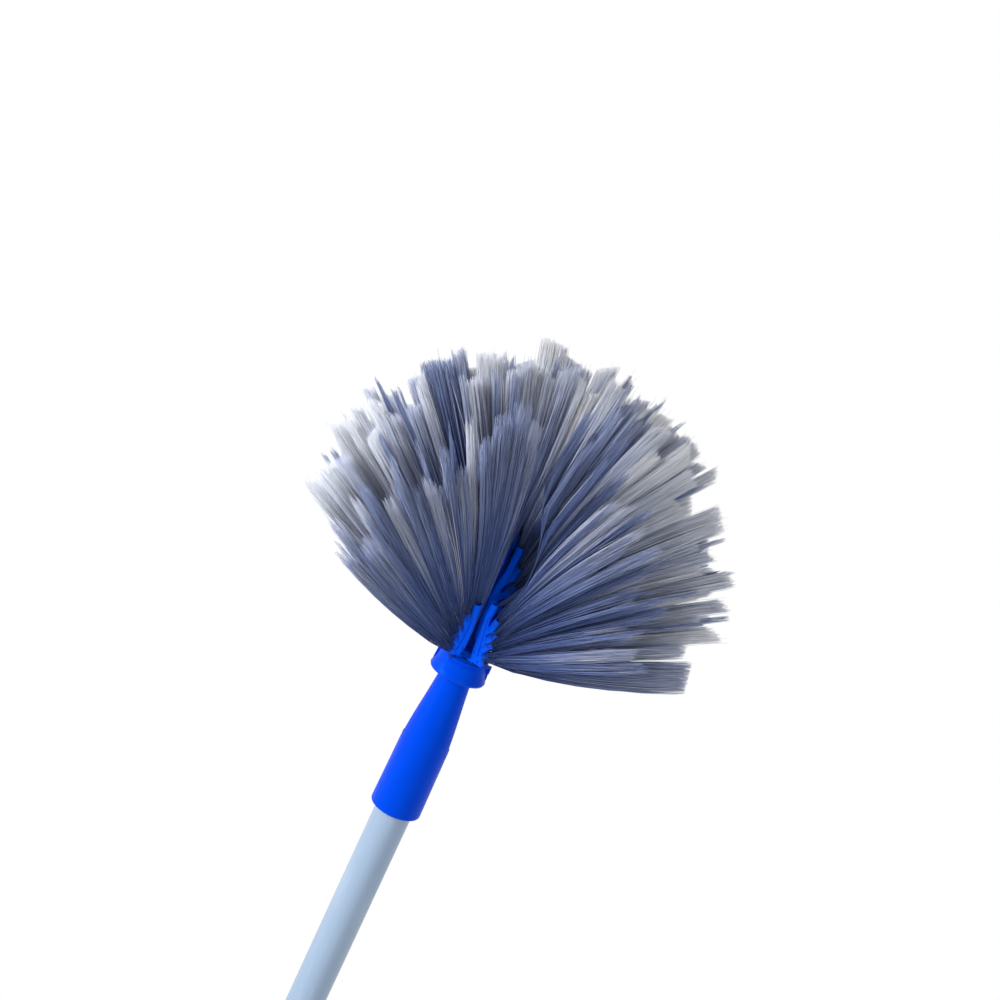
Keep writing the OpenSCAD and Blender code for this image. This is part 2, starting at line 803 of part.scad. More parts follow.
// Bar that presses the inner ends of all feet into their saddles
module clamp_bar() {
  color(DEEP_BLUE)
    difference() {
      translate([-bar_half_w, -bar_half_length, feet_z + bar_lift])
        cube([2 * bar_half_w, 2 * bar_half_length, bar_t]);
      translate([0, 0, feet_z])
        cylinder(r = screw_bore_r, h = 2 * bar_t, $fn = COARSE);
      for (slot = SLOTS)
        on_hub(slot)
          rotate([0, 90, 0])
            translate([0, 0, -eps])
              cylinder(r = saddle_r, h = foot_end(slot[1]), $fn = COARSE);
    }
}

module clamp_screw() {
  head_z = feet_z + bar_lift + bar_t;
  color(STEEL)
    union() {
      translate([0, 0, web_z + tip_gap])
        cylinder(r = screw_r, h = head_z - web_z, $fn = COARSE);
      translate([0, 0, head_z])
        rotate_extrude($fn = MIDDLING)
          polygon([
            [0, 0],
            [screw_head_r, 0],
            [screw_head_r, screw_head_t / 2],
            [screw_head_r - screw_head_t / 2, screw_head_t],
            [0, screw_head_t],
          ]);
    }
}

// A straight bar in the plane, from one point to another
module strut(from, to, w) {
  run = to - from;
  translate(from)
    rotate(atan2(run[1], run[0]))
      translate([0, -w / 2])
        square([norm(run), w]);
}

// Where the finger of tuft k meets its cup
function cup_base(row, k, raised) =
  cup_mouth(row, k, raised) - (cup_length - 2 * eps) * heading(cup_angle(row, k, raised));

// Middle of an arm's spine at a height, from the root web to the base of the top cup
function spine_x(row, raised, z) =
  let (
    top = cup_base(row, tufts_of(row, raised) - 1, raised),
    share = max(0, z) / top[1],
    draw = row[raised ? RAISED_DRAW : DRAW]
  )
  row[SPINE_X] + (top[0] - row[SPINE_X]) * pow(share, 2) - draw * pow(sin(180 * min(share, 1)), 2);

// Where the finger of tuft k leaves the spine
function finger_root(row, k, raised) =
  let (z = max(foot_r, cup_mouth(row, k, raised)[1] - finger_rise))
  [spine_x(row, raised, z), z];

// Half of the spine's width at a share of its height
function spine_half(share) = (spine_w + (spine_top_w - spine_w) * share) / 2;

// Outline of the spine, drawn in by a margin
module spine_outline(row, raised, margin) {
  top_z = cup_base(row, tufts_of(row, raised) - 1, raised)[1] - margin;
  shares = [0.2:0.1:1];
  right = [for (t = shares) [spine_x(row, raised, t * top_z) + spine_half(t) - margin, t * top_z]];
  left = [for (t = shares) [spine_x(row, raised, t * top_z) - spine_half(t) + margin, t * top_z]];
  polygon(concat(
    [[blade_edge(row) + margin, blade_lift + margin]],
    [[blade_edge(row) + web_w - 3 * margin, blade_lift + margin]],
    right,
    [for (i = [len(left) - 1:-1:0]) left[i]],
    [[blade_edge(row) + margin, clamp_top]]
  ));
}

// Outline of an arm: a tapered spine on its root web and a finger to each cup, with filleted crotches
module arm_outline(row, raised) {
  offset(r = -finger_fillet, $fn = 24)
    offset(delta = finger_fillet)
      union() {
        spine_outline(row, raised, 0);
        polygon([
          [blade_edge(row), blade_lift],
          [blade_edge(row) + web_w, blade_lift],
          [spine_x(row, raised, web_height) + spine_w / 2, web_height],
          [spine_x(row, raised, web_height) - spine_w / 2, web_height],
          [blade_edge(row), clamp_top],
        ]);
        for (k = [0:tufts_of(row, raised) - 2])
          strut(finger_root(row, k, raised), cup_base(row, k, raised), finger_w);
      }
}

// Comb-like arm: round foot, flat blade with fingers, beaded spine and a cup on each finger's tip
module arm(slot) {
  row = slot[1];
  raised = slot[2];
  last = tufts_of(row, raised) - 1;
  color(BLUE)
    on_hub(slot)
      difference() {
        union() {
          translate([foot_start(row), 0, 0])
            rotate([0, 90, 0])
              cylinder(r = foot_r, h = foot_end(row) - foot_start(row), $fn = COARSE);
          rotate([90, 0, 0])
            linear_extrude(height = blade_t, center = true)
              arm_outline(row, raised);
          rotate([90, 0, 0])
            linear_extrude(height = bead_t, center = true)
              spine_outline(row, raised, bead_margin);
          for (k = [0:last])
            at_cup(row, k, raised)
              translate([0, 0, -cup_length])
                cylinder(r = cup_r, h = cup_length, $fn = COARSE);
        }
        for (k = [0:last])
          at_cup(row, k, raised)
            translate([0, 0, -cup_depth])
              cylinder(r = cup_bore_r, h = cup_depth + over, $fn = COARSE);
      }
}

// Middle of a tuft at a share of its way in the plane of the arm: it leaves along its cup, then bends outwards
function tuft_middle(row, k, raised, share) =
  let (
    start = cup_mouth(row, k, raised),
    end = tuft_tip(row, k, raised),
    bend = start + norm(end - start) * bend_share * heading(cup_angle(row, k, raised)),
    rest = 1 - share
  )
  rest * rest * start + 2 * rest * share * bend + share * share * end;

// One strand with three flat sides, in rings across the tuft's own curve, fullest past its middle
module strand(row, k, raised, j) {
  turn = 360 * (j - 1) / (strand_count - 1);
  tip_w = tip_fill * row[REACH] * row[STEP] * PI / 180;
  full_share = 1 - raggedness * ((j * 5) % strand_count) / strand_count;
  rings = [
    [-strand_root_share, strand_root_r],
    [0.3, strand_full_r * 0.75],
    [0.62, strand_full_r],
    [1, strand_tip_r],
  ];
  points = [
    for (ring = rings)
      let (
        share = ring[0] * full_share,
        middle = tuft_middle(row, k, raised, share),
        ahead = tuft_middle(row, k, raised, share + strand_root_share) - middle,
        across = [ahead[1], -ahead[0]] / norm(ahead),
        fanned = max(0, share),
        out = j == 0 ? [0, 0] : strand_root_circle * (1 - fanned) * [1, 1] + [tip_w, tip_depth] * fanned
      )
      for (corner = [0:2])
        let (
          twist = 120 * corner + strand_twist * j,
          side = out[0] * cos(turn) + ring[1] * cos(twist),
          depth = out[1] * sin(turn) + ring[1] * sin(twist)
        )
        [middle[0] + across[0] * side, depth, middle[1] + across[1] * side]
  ];
  sides = [
    for (level = [0:len(rings) - 2], corner = [0:2])
      let (
        here = 3 * level + corner,
        beside = 3 * level + (corner + 1) % 3
      )
      each [[here, here + 3, beside], [beside, here + 3, beside + 3]]
  ];
  end = 3 * (len(rings) - 1);
  polyhedron(points = points, faces = concat([[0, 1, 2]], sides, [[end + 2, end + 1, end]]));
}

// Tuft: a butt that fills the cup, and the strands that fan out of it
module tuft(row, k, raised) {
  at_cup(row, k, raised)
    translate([0, 0, -cup_depth])
      cylinder(r = butt_r, h = cup_depth, $fn = COARSE);
  for (j = [0:strand_count - 1])
    strand(row, k, raised, j);
}

// Lower or upper half of an arm's tufts
module bristles(slot, high) {
  row = slot[1];
  count = tufts_of(row, slot[2]);
  half = ceil(count / 2);
  first = high ? half : 0;
  last = high ? count - 1 : half - 1;
  color(slot[4] ? BRISTLE_PALE : BRISTLE)
    on_hub(slot)
      for (k = [first:last])
        tuft(row, k, slot[2]);
}

lower_tube();
end_cap();
hand_grip();
lock_body();
lock_nut();
upper_tube();
tube_guide();
thread_tip();
tip_rivet();
socket();
collar_ring();
head_hub();
clamp_bar();
clamp_screw();
for (slot = SLOTS) {
  arm(slot);
  bristles(slot, false);
  bristles(slot, true);
}
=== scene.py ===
"""Looks of the cobweb brush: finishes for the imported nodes, split bristle for the fan, soft studio light.

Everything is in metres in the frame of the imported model: +Z up the pole, the fan in the XZ plane, the front
towards -Y. The numbers of the fan are millimetres and degrees and follow the part's source, so that the
bristles grow out of its cups.
"""

import json
import logging
import math
from dataclasses import dataclass, field, replace
from enum import Enum

import bmesh
import bpy
import numpy as np
from mathutils import Matrix, Vector

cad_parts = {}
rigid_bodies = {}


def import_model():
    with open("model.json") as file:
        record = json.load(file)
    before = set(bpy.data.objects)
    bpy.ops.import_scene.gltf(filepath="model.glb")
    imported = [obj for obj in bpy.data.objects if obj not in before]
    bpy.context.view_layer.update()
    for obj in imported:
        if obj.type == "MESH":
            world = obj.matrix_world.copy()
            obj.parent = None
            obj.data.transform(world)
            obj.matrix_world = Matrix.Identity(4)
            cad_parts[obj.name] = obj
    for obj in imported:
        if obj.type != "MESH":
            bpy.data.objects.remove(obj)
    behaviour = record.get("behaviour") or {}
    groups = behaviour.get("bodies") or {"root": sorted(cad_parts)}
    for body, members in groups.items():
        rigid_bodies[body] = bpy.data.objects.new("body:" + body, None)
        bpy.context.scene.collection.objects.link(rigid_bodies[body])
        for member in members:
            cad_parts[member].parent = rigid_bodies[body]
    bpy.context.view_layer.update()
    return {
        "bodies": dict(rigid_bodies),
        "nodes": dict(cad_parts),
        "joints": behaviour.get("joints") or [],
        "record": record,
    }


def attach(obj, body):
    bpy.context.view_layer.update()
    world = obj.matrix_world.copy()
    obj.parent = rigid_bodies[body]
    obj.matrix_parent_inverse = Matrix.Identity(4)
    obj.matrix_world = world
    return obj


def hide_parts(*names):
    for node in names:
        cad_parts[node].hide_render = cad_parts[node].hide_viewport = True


MM = 0.001
log = logging.getLogger("cobweb_brush")


class Side(Enum):
    """Side of the fan on which an arm stands."""

    RIGHT = 1
    LEFT = -1


class Face(Enum):
    """Face of the fan on which an arm stands."""

    FRONT = 0
    BACK = 180


# Shader tools


class Value:
    """A shader value whose arithmetic adds Math nodes."""

    def __init__(self, shader: "Shader", socket: bpy.types.NodeSocket) -> None:
        """Wraps one output socket of a shader's tree."""
        self.shader = shader
        self.socket = socket

    def math(self, operation: str, other: "Value | float") -> "Value":
        """Adds one Math node.

        Args:
            operation: Name of the Math node's operation.
            other: The second operand, as a value or a number.

        Returns:
            The node's result.
        """
        node = self.shader.add("ShaderNodeMath", {"operation": operation}, {0: self, 1: other})
        return Value(self.shader, node.outputs[0])

    def __add__(self, other: "Value | float") -> "Value":
        """Sum."""
        return self.math("ADD", other)

    __radd__ = __add__

    def __mul__(self, other: "Value | float") -> "Value":
        """Product."""
        return self.math("MULTIPLY", other)

    __rmul__ = __mul__

    def step(self, low: float, high: float) -> "Value":
        """Runs smoothly from 0 at low to 1 at high."""
        settings = {"interpolation_type": "SMOOTHSTEP"}
        node = self.shader.add("ShaderNodeMapRange", settings, {0: self, 1: low, 2: high, 3: 0.0, 4: 1.0})
        return Value(self.shader, node.outputs[0])


class Shader:
    """One material's node tree with a Principled shader."""

    def __init__(self, name: str) -> None:
        """Starts an empty material with a Principled shader joined to its output."""
        self.material = bpy.data.materials.new(name)
        self.material.use_nodes = True
        self.tree = self.material.node_tree
        self.tree.nodes.clear()
        self.surface = self.add("ShaderNodeBsdfPrincipled")
        self.output = self.add("ShaderNodeOutputMaterial", {}, {"Surface": self.surface.outputs[0]})

    def add(self, kind: str, settings: dict | None = None, inputs: dict | None = None) -> bpy.types.Node:
        """Adds a node.

        Args:
            kind: The node's type.
            settings: Properties that are set before its sockets; "stops" fills a colour ramp.
            inputs: What each input socket gets, by name or number: a Value, an output socket or a constant.

        Returns:
            The node.
        """
        node = self.tree.nodes.new(kind)
        for name, setting in (settings or {}).items():
            if name == "stops":
                ramp = node.color_ramp
                while len(ramp.elements) < len(setting):
                    ramp.elements.new(0.5)
                for element, (place, colour) in zip(ramp.elements, setting):
                    element.position = place
                    element.color = (*colour, 1.0)
            else:
                setattr(node, name, setting)
        for name, given in (inputs or {}).items():
            self.fill(node.inputs[name], given)
        return node

    def fill(self, socket: bpy.types.NodeSocket, given: object) -> None:
        """Joins a value or an output socket to an input socket, or sets it to a constant."""
        if isinstance(given, Value):
            given = given.socket
        if isinstance(given, bpy.types.NodeSocket):
            self.tree.links.new(given, socket)
        elif isinstance(given, tuple) and socket.type == "RGBA" and len(given) == 3:
            socket.default_value = (*given, 1.0)
        else:
            socket.default_value = given

    def value(self, node: bpy.types.Node, output: int | str = 0) -> Value:
        """One output of a node as a value."""
        return Value(self, node.outputs[output])

    def place(self, scale: tuple[float, float, float] = (1.0, 1.0, 1.0)) -> bpy.types.NodeSocket:
        """The point's place on the object in metres, stretched by a scale."""
        place = self.add("ShaderNodeTexCoord").outputs["Object"]
        return self.add("ShaderNodeMapping", {}, {"Vector": place, "Scale": scale}).outputs[0]

    def noise(
        self, place: bpy.types.NodeSocket, scale: float, detail: float = 2.0, rough: float = 0.5
    ) -> Value:
        """Noise between 0 and 1 at a place."""
        inputs = {"Vector": place, "Scale": scale, "Detail": detail, "Roughness": rough}
        return Value(self, self.add("ShaderNodeTexNoise", {}, inputs).outputs["Fac"])

    def blend(
        self, share: Value, first: tuple | bpy.types.NodeSocket, second: tuple | bpy.types.NodeSocket
    ) -> bpy.types.NodeSocket:
        """Mixes two colours by a share."""
        node = self.add("ShaderNodeMix", {"data_type": "RGBA"}, {0: share})
        first_colour, second_colour, mixed = node.inputs[6], node.inputs[7], node.outputs[2]
        self.fill(first_colour, first)
        self.fill(second_colour, second)
        return mixed

    def ramp(self, share: Value, stops: list[tuple[float, tuple]]) -> bpy.types.NodeSocket:
        """A colour from a ramp of stops."""
        return self.add("ShaderNodeValToRGB", {"stops": stops}, {0: share}).outputs[0]

    def bump(self, height: Value, strength: float, distance: float) -> None:
        """Raises the surface by a height, for its shading alone."""
        inputs = {"Height": height, "Strength": strength, "Distance": distance}
        self.fill(self.surface.inputs["Normal"], self.add("ShaderNodeBump", {}, inputs).outputs[0])

    def dress(self, **sockets: object) -> None:
        """Gives the Principled shader's sockets their values or links, with _ for spaces."""
        for name, given in sockets.items():
            self.fill(self.surface.inputs[name.replace("_", " ")], given)


# Finishes


@dataclass(frozen=True)
class MouldedPlastic:
    """Satin-gloss injection-moulded plastic with faint flow marks and scuffs.

    Attributes:
        name: Name of the material.
        colour: Colour in good light.
        shade: Colour of the darker flow marks.
        roughness: Least roughness.
        grain: Height of the surface's fine unevenness in metres.
    """

    name: str
    colour: tuple[float, float, float]
    shade: tuple[float, float, float]
    roughness: float
    grain: float = 0.0001

    def make(self) -> bpy.types.Material:
        """Flow marks are stretched noise along the part, scuffs are fine noise that roughens the gloss."""
        shader = Shader(self.name)
        flow = shader.noise(shader.place((1.0, 1.0, 0.35)), 38.0, 3.0)
        fine = shader.noise(shader.place(), 900.0, 2.0)
        scuff = shader.noise(shader.place((1.0, 1.0, 0.2)), 260.0, 5.0, 0.65)
        shader.dress(
            Base_Color=shader.blend(flow.step(0.3, 0.75), self.colour, self.shade),
            Roughness=self.roughness + scuff.step(0.45, 0.8) * 0.16,
            Specular_IOR_Level=0.14,
            Specular_Tint=(0.0, 0.5, 1.0),
        )
        shader.bump(fine * 0.6 + flow * 0.4, 0.35, self.grain)
        return shader.material


MOULDED_BLUE = MouldedPlastic("moulded_blue", (0.0003, 0.05, 0.6), (0.0003, 0.042, 0.54), 0.4)
# The arms' blue is the same plastic as the moulded blue, made lighter: painted light that makes up for the
# shade the bristles cast on the arms.
ARM_BLUE_PAINTED_LIGHT = MouldedPlastic("moulded_blue_painted_light", (0.0005, 0.1, 0.9), (0.0005, 0.085, 0.8), 0.4)
DEEP_BLUE = MouldedPlastic("moulded_deep_blue", (0.001, 0.035, 0.36), (0.001, 0.025, 0.3), 0.36)
WEB_BLUE = replace(DEEP_BLUE, name="moulded_web_blue")
MOULDED_BLACK = MouldedPlastic("moulded_black", (0.05, 0.05, 0.055), (0.035, 0.035, 0.04), 0.42)


@dataclass(frozen=True)
class PaintedTube:
    """Light blue-grey paint on drawn tube, with faint lengthwise lines and rubbed marks."""

    name: str = "painted_tube"
    colour: tuple[float, float, float] = (0.27, 0.36, 0.49)
    worn: tuple[float, float, float] = (0.32, 0.41, 0.53)
    roughness: float = 0.3

    def make(self) -> bpy.types.Material:
        """Drawing lines are noise stretched far along the tube, rubs are broken noise along it."""
        shader = Shader(self.name)
        lines = shader.noise(shader.place((1.0, 1.0, 0.012)), 620.0, 2.0)
        rubs = shader.noise(shader.place((1.0, 1.0, 0.12)), 70.0, 6.0, 0.7)
        speck = shader.noise(shader.place(), 1500.0, 1.0)
        shader.dress(
            Base_Color=shader.blend(rubs.step(0.52, 0.72), self.colour, self.worn),
            Roughness=self.roughness + rubs.step(0.4, 0.8) * 0.12,
            Specular_IOR_Level=0.3,
            Coat_Weight=0.12,
            Coat_Roughness=0.25,
        )
        shader.bump(lines * 0.5 + speck * 0.5, 0.25, 0.00005)
        return shader.material


@dataclass(frozen=True)
class SoftRubber:
    """Matt soft rubber with a fine moulded stipple."""

    name: str = "soft_rubber"
    colour: tuple[float, float, float] = (0.042, 0.052, 0.1)
    dusty: tuple[float, float, float] = (0.075, 0.085, 0.13)

    def make(self) -> bpy.types.Material:
        """Stipple is fine round cells, dust is broken noise that lightens the colour."""
        shader = Shader(self.name)
        cells = shader.add("ShaderNodeTexVoronoi", {}, {"Vector": shader.place(), "Scale": 1100.0})
        dust = shader.noise(shader.place(), 90.0, 6.0, 0.7)
        shader.dress(
            Base_Color=shader.blend(dust.step(0.45, 0.75), self.colour, self.dusty),
            Roughness=0.62 + dust.step(0.4, 0.8) * 0.18,
        )
        shader.bump(shader.value(cells, "Distance"), 0.5, 0.00008)
        return shader.material


@dataclass(frozen=True)
class ZincSteel:
    """Zinc-plated steel of the rivet and the screw."""

    name: str = "zinc_steel"

    def make(self) -> bpy.types.Material:
        """Fine spangle varies the colour and the roughness."""
        shader = Shader(self.name)
        spangle = shader.noise(shader.place(), 420.0, 4.0)
        shader.dress(
            Base_Color=shader.blend(spangle, (0.5, 0.5, 0.52), (0.66, 0.66, 0.68)),
            Roughness=0.28 + spangle * 0.18,
            Metallic=1.0,
        )
        shader.bump(spangle, 0.2, 0.00003)
        return shader.material


@dataclass(frozen=True)
class SplitBristle:
    """Split filaments, navy at the root and pale grey at the flagged tip.

    A strand's map holds its tone across and its length along. The colour is a ramp from root to tip, moved
    by the tone, so that a dark strand stays navy almost to its tip. The highest tone marks warm grey.
    """

    name: str = "split_bristle"
    stops: tuple = (
        (0.0, (0.018, 0.036, 0.14)),
        (0.25, (0.073, 0.112, 0.28)),
        (0.45, (0.225, 0.275, 0.455)),
        (0.6, (0.44, 0.48, 0.63)),
        (0.8, (0.64, 0.67, 0.76)),
        (1.0, (0.8, 0.82, 0.86)),
    )
    warm: tuple[float, float, float] = (0.42, 0.37, 0.36)

    def make(self) -> bpy.types.Material:
        """Reads the strand's map by name: X is its tone and Y the place along it."""
        shader = Shader(self.name)
        strand = shader.add("ShaderNodeUVMap", {"uv_map": "Strand"})
        parts = shader.add("ShaderNodeSeparateXYZ", {}, {0: strand.outputs[0]})
        tone, along = shader.value(parts, "X"), shader.value(parts, "Y")
        share = 0.02 + tone * 0.12 + along * (0.34 + tone * 0.62)
        colour = shader.ramp(share, list(self.stops))
        warmth = tone.step(0.955, 0.97) * 0.6
        shader.dress(
            Base_Color=shader.blend(warmth, colour, self.warm),
            Roughness=0.55 + along * 0.15,
            IOR=1.45,
            Specular_IOR_Level=0.15,
        )
        return shader.material


# Meshes


def mesh_object(
    name: str, points: np.ndarray, faces: list, finish: bpy.types.Material
) -> bpy.types.Object:
    """Puts points and faces into a mesh object at the origin.

    Args:
        name: Name of the object.
        points: Points, one row each, in metres.
        faces: Corner numbers of the faces.
        finish: The material.

    Returns:
        The linked object.
    """
    mesh = bpy.data.meshes.new(name)
    mesh.from_pydata(points.tolist(), [], [list(face) for face in faces])
    mesh.materials.append(finish)
    mesh.update()
    made = bpy.data.objects.new(name, mesh)
    bpy.context.scene.collection.objects.link(made)
    return made


# Fan


@dataclass(frozen=True)
class Stance:
    """How an arm's plane stands on the hub.

    Attributes:
        azimuth: Turn out of the fan's plane, degrees.
        tilt: Lean away from the fan's plane, degrees.
        offset: Distance from the fan's plane, mm.
    """

    azimuth: float
    tilt: float
    offset: float

    def matrix(self, side: Side, face: Face, feet_z: float) -> np.ndarray:
        """Places the arm's plane in the frame: lean, turn, step out, mirror, turn to its face, lift."""
        turn = Matrix.Rotation(math.radians(face.value), 4, "Z")
        mirror = Matrix.Diagonal((side.value * (1 if face is Face.FRONT else -1), 1, 1, 1))
        out = Matrix.Translation((0, -self.offset, 0))
        swing = Matrix.Rotation(math.radians(-self.azimuth), 4, "Z")
        lean = Matrix.Rotation(math.radians(self.tilt), 4, "X")
        lift = Matrix.Translation((0, 0, feet_z))
        return np.array(lift @ turn @ mirror @ out @ swing @ lean)


@dataclass(frozen=True)
class Cut:
    """How the strands of a tuft gather in locks and where they end.

    Attributes:
        locks: Least and greatest number of wide locks.
        lengths: Least and greatest length of a lock as a share of the tuft's.
        fray: How unevenly the strands of a lock end, as a share of its length.
        gather: How far a lock draws together towards its tips, as a share of its width.
    """

    locks: tuple[int, int]
    lengths: tuple[float, float]
    fray: float
    gather: float


@dataclass(frozen=True)
class Row:
    """Sizes of one row of arms, which follow the part's source.

    Attributes:
        stance: How the plane of its arms stands.
        reach: Distance of the tufts' tips from the dome's centre, mm.
        step: Angle between neighbouring tufts, degrees.
        lowest: Angle of the lowest tuft from upright, degrees.
        dome: Height of the dome's centre above the feet, mm.
        count: Number of tufts on an arm.
        raised_count: Number of tufts on a raised arm.
        top: Height of the top cup above the feet, mm.
        top_x: Distance of the top cup from the arm's inner end, mm.
        mid_x: Distance of the middle cups from it, mm.
        cut: How the strands of its tufts gather and end.
        crown: How much longer the top tufts are than in the part's source, as a share.
    """

    stance: Stance
    reach: float
    step: float
    lowest: float
    dome: float
    count: int
    raised_count: int
    top: float
    top_x: float
    mid_x: float
    cut: Cut
    crown: float = 0.0

    def tip_half(self) -> float:
        """Half of the room between two neighbouring tufts' tips, mm."""
        return self.reach * math.radians(self.step) / 2


INNER = Row(
    stance=Stance(azimuth=8, tilt=5, offset=3.9),
    reach=124,
    step=14.0,
    lowest=87.5,
    dome=54,
    count=7,
    raised_count=6,
    top=71.5,
    top_x=3.6,
    mid_x=10,
    cut=Cut(locks=(2, 4), lengths=(0.9, 1.03), fray=0.02, gather=0.2),
)
OUTER = Row(
    stance=Stance(azimuth=26, tilt=15, offset=8.8),
    reach=112,
    step=14,
    lowest=82,
    dome=46,
    count=5,
    raised_count=5,
    top=37,
    top_x=11.5,
    mid_x=15,
    cut=Cut(locks=(3, 5), lengths=(0.84, 1.06), fray=0.16, gather=0.42),
    crown=0.12,
)


@dataclass(frozen=True)
class Slot:
    """Place of one arm on the hub.

    Attributes:
        name: Name of the arm's place.
        row: The row's sizes.
        raised: Whether its tufts lie half a step further up.
        side: Side of the fan.
        face: Face of the fan.
        tone: How pale its bristles are, from 0 for navy to 1 for pale grey.
        parting: Distance from the axis at which its strands are parted round the inner arms' stem, mm.
    """

    name: str
    row: Row
    raised: bool
    side: Side
    face: Face
    tone: float
    parting: float = 0.0

    def count(self) -> int:
        """Number of tufts on the arm."""
        return self.row.raised_count if self.raised else self.row.count

    def matrix(self, feet_z: float) -> np.ndarray:
        """Places the arm's plane in the frame."""
        return self.row.stance.matrix(self.side, self.face, feet_z)


SLOTS = (
    Slot("front_inner_right", INNER, False, Side.RIGHT, Face.FRONT, 0.62),
    Slot("front_inner_left", INNER, True, Side.LEFT, Face.FRONT, 0.55),
    Slot("front_outer_right", OUTER, True, Side.RIGHT, Face.FRONT, 0.16, 13.0),
    Slot("front_outer_left", OUTER, False, Side.LEFT, Face.FRONT, 0.32, 5.0),
    Slot("back_inner_left", INNER, False, Side.LEFT, Face.BACK, 0.68),
    Slot("back_inner_right", INNER, True, Side.RIGHT, Face.BACK, 0.75),
    Slot("back_outer_left", OUTER, True, Side.LEFT, Face.BACK, 0.85),
    Slot("back_outer_right", OUTER, False, Side.RIGHT, Face.BACK, 0.8),
)


@dataclass(frozen=True)
class Tuft:
    """One tuft's course in the plane of its arm.

    Attributes:
        start: Middle of the cup's mouth, mm.
        heading: Direction in which the tuft leaves the cup.
        end: Middle of its tips, mm.
        half: Half of its width at its tips, mm.
        height: How far up its row it lies, from 0 at the lowest place to 1 or a little more.
        cut: How its strands gather and end.
        tone: How pale it is.
    """

    start: np.ndarray
    heading: np.ndarray
    end: np.ndarray
    half: float
    height: float
    cut: Cut
    tone: float

    def middle(self, share: np.ndarray, sunk: np.ndarray, bend_share: float) -> np.ndarray:
        """Points on the middle line at shares of its length.

        The line is a quadratic curve from inside the cup, over a bend in the cup's direction, to the tips.
        """
        bend = self.start + float(np.linalg.norm(self.end - self.start)) * bend_share * self.heading
        rest = 1 - share
        return (
            (rest * rest)[..., None] * (self.start - sunk[:, None, None] * self.heading)
            + (2 * rest * share)[..., None] * bend
            + (share * share)[..., None] * self.end
        )


@dataclass(frozen=True)
class LooseTuft:
    """A tuft that leans against the arms' feet, outside the rows.

    Attributes:
        side: Side of the fan.
        face: Face of the fan.
        start: Its root in its plane, mm.
        heading: Direction in which it leaves its root.
        end: Middle of its tips, mm.
        tone: How pale it is.
        half: Half of its width at its tips, mm.
        height: Height of the row's tuft whose spread it has.
        stance: How its plane stands.
        cut: How its strands gather and end.
    """

    side: Side
    face: Face
    start: tuple[float, float]
    heading: tuple[float, float]
    end: tuple[float, float]
    tone: float
    half: float = 19.0
    height: float = 0.85
    stance: Stance = Stance(azimuth=0, tilt=10, offset=11.0)
    cut: Cut = Cut(locks=(3, 4), lengths=(0.68, 1.0), fray=0.12, gather=0.4)

    def tuft(self) -> Tuft:
        """Its course."""
        start, heading, end = (np.array(pair) for pair in (self.start, self.heading, self.end))
        return Tuft(start, heading, end, self.half, self.height, self.cut, self.tone)

    def matrix(self, feet_z: float) -> np.ndarray:
        """Places its plane in the frame."""
        return self.stance.matrix(self.side, self.face, feet_z)


# The loose tufts by the arm to whose lower piece they are added
LOOSE_TUFTS = {
    "front_inner_left": LooseTuft(Side.LEFT, Face.FRONT, (6.0, 0.0), (0.12, 0.993), (26.0, 124.0), 0.25),
    "back_inner_right": LooseTuft(Side.RIGHT, Face.BACK, (2.0, 0.0), (-0.03, 1.0), (-3.0, 124.0), 0.5),
}


@dataclass
class Locks:
    """Locks into which the strands of one tuft gather, one entry for each lock.

    Attributes:
        middle: Place of its middle across the tuft and through its depth, from -1 to 1.
        half: Half of its width and of its depth, as shares of the tuft's own.
        length: Length as a share of the tuft's.
        slant: How much shorter one edge of it is cut than the other, as a share of its length.
        tone: How pale it is, from 0 to 1.
        share: Share of the tuft's strands that belong to it.
    """

    middle: np.ndarray
    half: np.ndarray
    length: np.ndarray
    slant: np.ndarray
    tone: np.ndarray
    share: np.ndarray

    @classmethod
    def draw(cls, random: np.random.Generator, tone: float, cut: Cut) -> "Locks":
        """Draws a few wide locks side by side and two narrow dark ones near the tuft's faces.

        Args:
            random: Source of the random numbers.
            tone: Middle tone of the tuft.
            cut: How many wide locks there are and how long they may be.

        Returns:
            The tuft's locks.
        """
        wide, narrow = int(random.integers(cut.locks[0], cut.locks[1] + 1)), 2
        width = random.uniform(0.6, 1.4, wide)
        width /= width.sum()
        middle = np.stack([2 * np.cumsum(width) - width - 1, random.uniform(-0.5, 0.5, wide)], axis=1)
        face = 0.8
        streak = np.stack(
            [random.uniform(-0.9, 0.9, narrow), random.choice([-1, 1], narrow) * face], axis=1
        )
        thin = random.uniform(0.06, 0.13, narrow)
        wide_half = np.stack([width, np.full(wide, 0.5)], axis=1)
        share = np.concatenate([width * 0.9, thin * 0.5])
        return cls(
            middle=np.concatenate([middle, streak]),
            half=np.concatenate([wide_half, np.stack([thin, thin], axis=1)]),
            length=random.uniform(*cut.lengths, wide + narrow),
            slant=random.uniform(-0.03, 0.03, wide + narrow),
            tone=np.concatenate(
                [tone + random.normal(0, 0.2, wide), tone * 0.4 + random.normal(0, 0.06, narrow)]
            ),
            share=share / share.sum(),
        )


@dataclass
class Strands:
    """What each strand of one tuft has drawn, one entry or row for each strand.

    Attributes:
        own: Its place within its lock, on a disc of radius 1.
        strays: Whether it strays from its lock.
        seat: Its place in or round the cup, across and through the depth, mm.
        sunk: How deep below the cup's mouth it starts, mm.
        middle: Place of its lock's middle across the tuft and through its depth, from -1 to 1.
        half: Half of its lock's width and depth, as shares of the tuft's own.
        length: Its length as a share of the tuft's.
        tone: How pale it is, from 0 to 1.
    """

    own: np.ndarray
    strays: np.ndarray
    seat: np.ndarray
    sunk: np.ndarray
    middle: np.ndarray
    half: np.ndarray
    length: np.ndarray
    tone: np.ndarray


